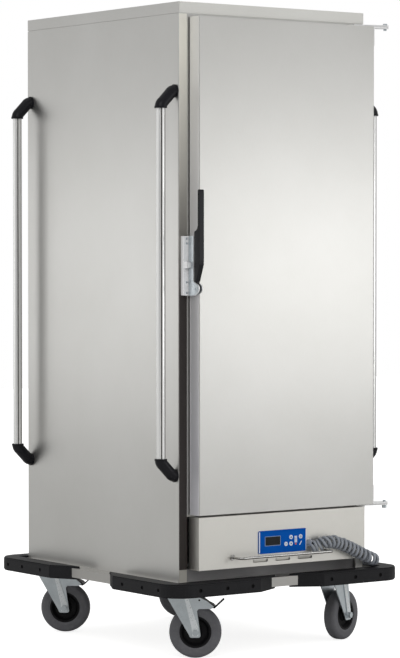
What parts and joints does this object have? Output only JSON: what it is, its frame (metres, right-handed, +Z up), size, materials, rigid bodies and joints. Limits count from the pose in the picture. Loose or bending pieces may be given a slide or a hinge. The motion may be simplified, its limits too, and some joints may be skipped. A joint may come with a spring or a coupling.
{
  "type": "heated meal tray cart",
  "caption": "Tall enclosed stainless meal tray cart with an insulated door, lever latch, side push handles, corner bumpers, swivel castors and a plug-in heating unit in the base.",
  "frame": {"origin": "on the floor, under the middle of the four corner bumpers", "axes": "+X to the right seen from the front, +Y to the back, +Z up; the door and the controls face -Y"},
  "size_m": [0.895, 1.01, 1.991],
  "materials": {
    "stainless": "satin brushed",
    "stainless_inner": "satin",
    "bright_tube": "polished",
    "zinc": "bright zinc plated",
    "black_rubber": "matte",
    "gasket_rubber": "matte",
    "black_plastic": "fine grained",
    "grey_tyre": "matte",
    "foam": "rigid foam",
    "dark_panel": "satin",
    "blue_panel": "satin film",
    "display_glass": "glossy",
    "white_key": "satin",
    "heater_sheath": "heat tinted",
    "grey_cord": "satin"
  },
  "bodies": {
    "cart": {"chassis_frame": "stainless", "corner_bumpers": "black_rubber", "castor_plates": "zinc", "casing": "stainless", "top_cap": "stainless", "liner": "stainless", "insulation": "foam", "plinth": "dark_panel", "rack_uprights": "stainless_inner", "tray_runners": "stainless_inner", "floor_grille": "stainless_inner", "strike_plate": "stainless_inner", "hinge_brackets": "stainless_inner", "hinge_pins": "zinc", "handle_tubes": "bright_tube", "handle_elbows": "black_plastic", "module_housing": "stainless_inner", "module_fascia": "stainless", "guard_rail": "bright_tube", "controller_bezel": "blue_panel", "controller_display": "display_glass", "heater_element": "heater_sheath", "fan_motor": "dark_panel", "cable_gland": "black_plastic", "power_cord": "grey_cord", "cord_coil": "grey_cord", "power_plug": "grey_cord", "fasteners": "zinc"},
    "fan": {"fan_rotor": "dark_panel"},
    "key_up": {"key_up": "white_key"},
    "key_down": {"key_down": "white_key"},
    "key_set": {"key_set": "white_key"},
    "key_power": {"key_power": "white_key"},
    "door": {"door_skin": "stainless", "door_liner": "stainless", "door_core": "foam", "door_gasket": "gasket_rubber", "hinge_arms": "stainless_inner", "latch_housing": "zinc", "latch_pin": "zinc"},
    "lever": {"latch_lever": "black_plastic"},
    "bolt": {"latch_bolt": "zinc"},
    "fl_swivel": {"castor_fl_fork": "zinc", "castor_fl_axle": "zinc"},
    "fl_wheel": {"castor_fl_rim": "black_plastic", "castor_fl_tyre": "grey_tyre"},
    "fl_brake": {"castor_fl_brake": "black_plastic"},
    "rl_swivel": {"castor_rl_fork": "zinc", "castor_rl_axle": "zinc"},
    "rl_wheel": {"castor_rl_rim": "black_plastic", "castor_rl_tyre": "grey_tyre"},
    "rl_brake": {"castor_rl_brake": "black_plastic"},
    "fr_swivel": {"castor_fr_fork": "zinc", "castor_fr_axle": "zinc"},
    "fr_wheel": {"castor_fr_rim": "black_plastic", "castor_fr_tyre": "grey_tyre"},
    "rr_swivel": {"castor_rr_fork": "zinc", "castor_rr_axle": "zinc"},
    "rr_wheel": {"castor_rr_rim": "black_plastic", "castor_rr_tyre": "grey_tyre"}
  },
  "joints": [
    {"name": "door_hinge", "type": "hinge", "parent": "cart", "child": "door", "pos_m": [0.4075, -0.45, 1.2], "axis": [0, 0, 1], "range_deg": [0, 240]},
    {"name": "lever_pull", "type": "hinge", "parent": "door", "child": "lever", "pos_m": [-0.3275, -0.459, 1.127], "axis": [1, 0, 0], "range_deg": [0, 50]},
    {"name": "bolt_slide", "type": "slide", "parent": "door", "child": "bolt", "axis": [1, 0, 0], "range_m": [0, 0.006]},
    {"name": "fan_spin", "type": "hinge", "parent": "cart", "child": "fan", "pos_m": [0, 0.06, 0.397], "axis": [0, 0, 1], "continuous": true},
    {"name": "press_up", "type": "slide", "parent": "cart", "child": "key_up", "axis": [0, 1, 0], "range_m": [0, 0.0008], "stiffness_N_per_m": 900},
    {"name": "press_down", "type": "slide", "parent": "cart", "child": "key_down", "axis": [0, 1, 0], "range_m": [0, 0.0008], "stiffness_N_per_m": 900},
    {"name": "press_set", "type": "slide", "parent": "cart", "child": "key_set", "axis": [0, 1, 0], "range_m": [0, 0.0008], "stiffness_N_per_m": 900},
    {"name": "press_power", "type": "slide", "parent": "cart", "child": "key_power", "axis": [0, 1, 0], "range_m": [0, 0.0008], "stiffness_N_per_m": 900},
    {"name": "fl_swivel_turn", "type": "hinge", "parent": "cart", "child": "fl_swivel", "pos_m": [-0.302, -0.3175, 0.2], "axis": [0, 0, 1], "continuous": true},
    {"name": "fl_wheel_roll", "type": "hinge", "parent": "fl_swivel", "child": "fl_wheel", "pos_m": [-0.2567, -0.35042, 0.08], "axis": [0.5878, 0.809, 0], "continuous": true},
    {"name": "fl_brake_press", "type": "hinge", "parent": "fl_swivel", "child": "fl_brake", "pos_m": [-0.24699, -0.35747, 0.179], "axis": [0.5878, 0.809, 0], "range_deg": [0, 10]},
    {"name": "rl_swivel_turn", "type": "hinge", "parent": "cart", "child": "rl_swivel", "pos_m": [-0.302, 0.4075, 0.2], "axis": [0, 0, 1], "continuous": true},
    {"name": "rl_wheel_roll", "type": "hinge", "parent": "rl_swivel", "child": "rl_wheel", "pos_m": [-0.26104, 0.36931, 0.08], "axis": [0.682, 0.7314, 0], "continuous": true},
    {"name": "rl_brake_press", "type": "hinge", "parent": "rl_swivel", "child": "rl_brake", "pos_m": [-0.25227, 0.36112, 0.179], "axis": [0.682, 0.7314, 0], "range_deg": [0, 10]},
    {"name": "fr_swivel_turn", "type": "hinge", "parent": "cart", "child": "fr_swivel", "pos_m": [0.302, -0.3175, 0.2], "axis": [0, 0, 1], "continuous": true},
    {"name": "fr_wheel_roll", "type": "hinge", "parent": "fr_swivel", "child": "fr_wheel", "pos_m": [0.35462, -0.29835, 0.08], "axis": [-0.342, 0.9397, 0], "continuous": true},
    {"name": "rr_swivel_turn", "type": "hinge", "parent": "cart", "child": "rr_swivel", "pos_m": [0.302, 0.4075, 0.2], "axis": [0, 0, 1], "continuous": true},
    {"name": "rr_wheel_roll", "type": "hinge", "parent": "rr_swivel", "child": "rr_wheel", "pos_m": [0.25503, 0.438, 0.08], "axis": [-0.5446, -0.8387, 0], "continuous": true}
  ],
  "couplings": [
    {"joint": "bolt_slide", "follows": "lever_pull", "m_per_rad": 0.0068}
  ]
}
